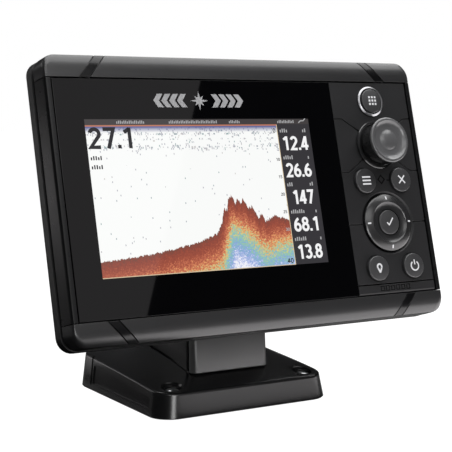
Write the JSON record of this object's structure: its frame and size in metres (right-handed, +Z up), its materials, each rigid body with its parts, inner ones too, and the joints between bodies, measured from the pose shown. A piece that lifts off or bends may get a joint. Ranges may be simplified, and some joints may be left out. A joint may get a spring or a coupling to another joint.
{
  "type": "chartplotter display",
  "caption": "Marine chartplotter: a colour display head with a keypad and rotary knob, tilting on a quick-release stem above a screw-down base.",
  "frame": {"origin": "centre of the base's underside, on the surface that it is screwed to", "axes": "+Z up, +X to the right as the user faces the screen, the screen faces -Y and leans back 14.4 degrees"},
  "size_m": [0.1864, 0.1147, 0.1546],
  "materials": {
    "base_plastic": "black moulded plastic with a soft gloss",
    "stem_plastic": "black fine-grained moulded plastic",
    "plate_plastic": "satin dark grey moulded plastic",
    "housing_plastic": "satin black moulded plastic",
    "trim_plastic": "satin black trim with a fine grain",
    "gloss_inlay": "glossy black inlay",
    "rear_plastic": "black textured moulded plastic",
    "socket_plastic": "black plastic",
    "panel_plastic": "satin charcoal plastic with fine grooves",
    "key_plastic": "satin dark grey domed keycap with light icons",
    "knob_plastic": "semi-gloss dark grey, dished cap",
    "bright_ring": "dark bright ring",
    "cover_glass": "dark bonded cover glass",
    "screen": "lit colour display showing a sonar picture",
    "rubber": "black rubber",
    "steel": "stainless steel",
    "brass": "gold-plated contact",
    "circuit_board": "green circuit board"
  },
  "bodies": {
    "base": {"base_housing": "base_plastic", "base_pad": "rubber", "base_screw_front_left": "steel", "base_screw_front_right": "steel", "base_screw_rear_left": "steel", "base_screw_rear_right": "steel", "stem": "stem_plastic", "tilt_axle": "steel", "axle_clip_left": "steel", "axle_clip_right": "steel"},
    "release": {"release_plate": "plate_plastic", "lock_bar": "steel"},
    "head": {"front_bezel": "housing_plastic", "top_trim": "trim_plastic", "bottom_trim": "trim_plastic", "top_left_inlay": "gloss_inlay", "top_right_inlay": "gloss_inlay", "bottom_left_inlay": "gloss_inlay", "bottom_right_inlay": "gloss_inlay", "display_glass": "cover_glass", "lcd_panel": "screen", "case_seal": "rubber", "rear_cover": "rear_plastic", "case_screw_left_top": "steel", "case_screw_right_top": "steel", "case_screw_left_bottom": "steel", "case_screw_right_bottom": "steel", "power_socket": "socket_plastic", "power_pins": "brass", "sonar_socket": "socket_plastic", "sonar_pins": "brass", "bracket_shoe": "stem_plastic", "shoe_screw_left": "steel", "shoe_screw_right": "steel", "keypad_panel": "panel_plastic", "pages_collar": "bright_ring", "knob_collar": "bright_ring", "encoder_body": "steel", "keypad_mat": "rubber", "keypad_board": "circuit_board", "main_board": "circuit_board", "card_reader": "steel"},
    "knob_shaft": {"encoder_shaft": "steel"},
    "knob": {"rotary_knob": "knob_plastic"},
    "pages_key": {"pages_key": "key_plastic"},
    "menu_key": {"menu_key": "key_plastic"},
    "exit_key": {"exit_key": "key_plastic"},
    "waypoint_key": {"waypoint_key": "key_plastic"},
    "power_key": {"power_key": "key_plastic"},
    "enter_key": {"enter_key": "key_plastic"},
    "pad_rocker": {"pad_rocker": "key_plastic"},
    "cursor_pad": {"cursor_pad": "key_plastic"},
    "card_door": {"card_door": "panel_plastic"}
  },
  "joints": [
    {"name": "head_tilt", "type": "hinge", "parent": "base", "child": "head", "pos_m": [0, -0.002, 0.07], "axis": [-1, 0, 0], "range_deg": [-14, 25]},
    {"name": "release_press", "type": "slide", "parent": "base", "child": "release", "axis": [0, 1, 0], "range_m": [0, 0.0018], "stiffness_N_per_m": 2500},
    {"name": "knob_press", "type": "slide", "parent": "head", "child": "knob_shaft", "axis": [0, 0.9686, -0.2487], "range_m": [0, 0.0007], "stiffness_N_per_m": 3000},
    {"name": "knob_turn", "type": "hinge", "parent": "knob_shaft", "child": "knob", "pos_m": [0.066, -0.05329, 0.11773], "axis": [0, -0.9686, 0.2487], "continuous": true},
    {"name": "pages_press", "type": "slide", "parent": "head", "child": "pages_key", "axis": [0, 0.9686, -0.2487], "range_m": [0, 0.001], "stiffness_N_per_m": 1500},
    {"name": "menu_press", "type": "slide", "parent": "head", "child": "menu_key", "axis": [0, 0.9686, -0.2487], "range_m": [0, 0.001], "stiffness_N_per_m": 1500},
    {"name": "exit_press", "type": "slide", "parent": "head", "child": "exit_key", "axis": [0, 0.9686, -0.2487], "range_m": [0, 0.001], "stiffness_N_per_m": 1500},
    {"name": "waypoint_press", "type": "slide", "parent": "head", "child": "waypoint_key", "axis": [0, 0.9686, -0.2487], "range_m": [0, 0.001], "stiffness_N_per_m": 1500},
    {"name": "power_press", "type": "slide", "parent": "head", "child": "power_key", "axis": [0, 0.9686, -0.2487], "range_m": [0, 0.001], "stiffness_N_per_m": 1500},
    {"name": "enter_press", "type": "slide", "parent": "head", "child": "enter_key", "axis": [0, 0.9686, -0.2487], "range_m": [0, 0.001], "stiffness_N_per_m": 1500},
    {"name": "pad_rock_up_down", "type": "hinge", "parent": "head", "child": "pad_rocker", "pos_m": [0.066, -0.05569, 0.08087], "axis": [1, 0, 0], "range_deg": [-2, 2], "stiffness_Nm_per_rad": 0.8},
    {"name": "pad_rock_left_right", "type": "hinge", "parent": "pad_rocker", "child": "cursor_pad", "pos_m": [0.066, -0.05569, 0.08087], "axis": [0, 0.2487, 0.9686], "range_deg": [-2, 2], "stiffness_Nm_per_rad": 0.8},
    {"name": "card_door_open", "type": "hinge", "parent": "head", "child": "card_door", "pos_m": [0.06595, -0.06417, 0.05063], "axis": [1, 0, 0], "range_deg": [0, 90]}
  ]
}
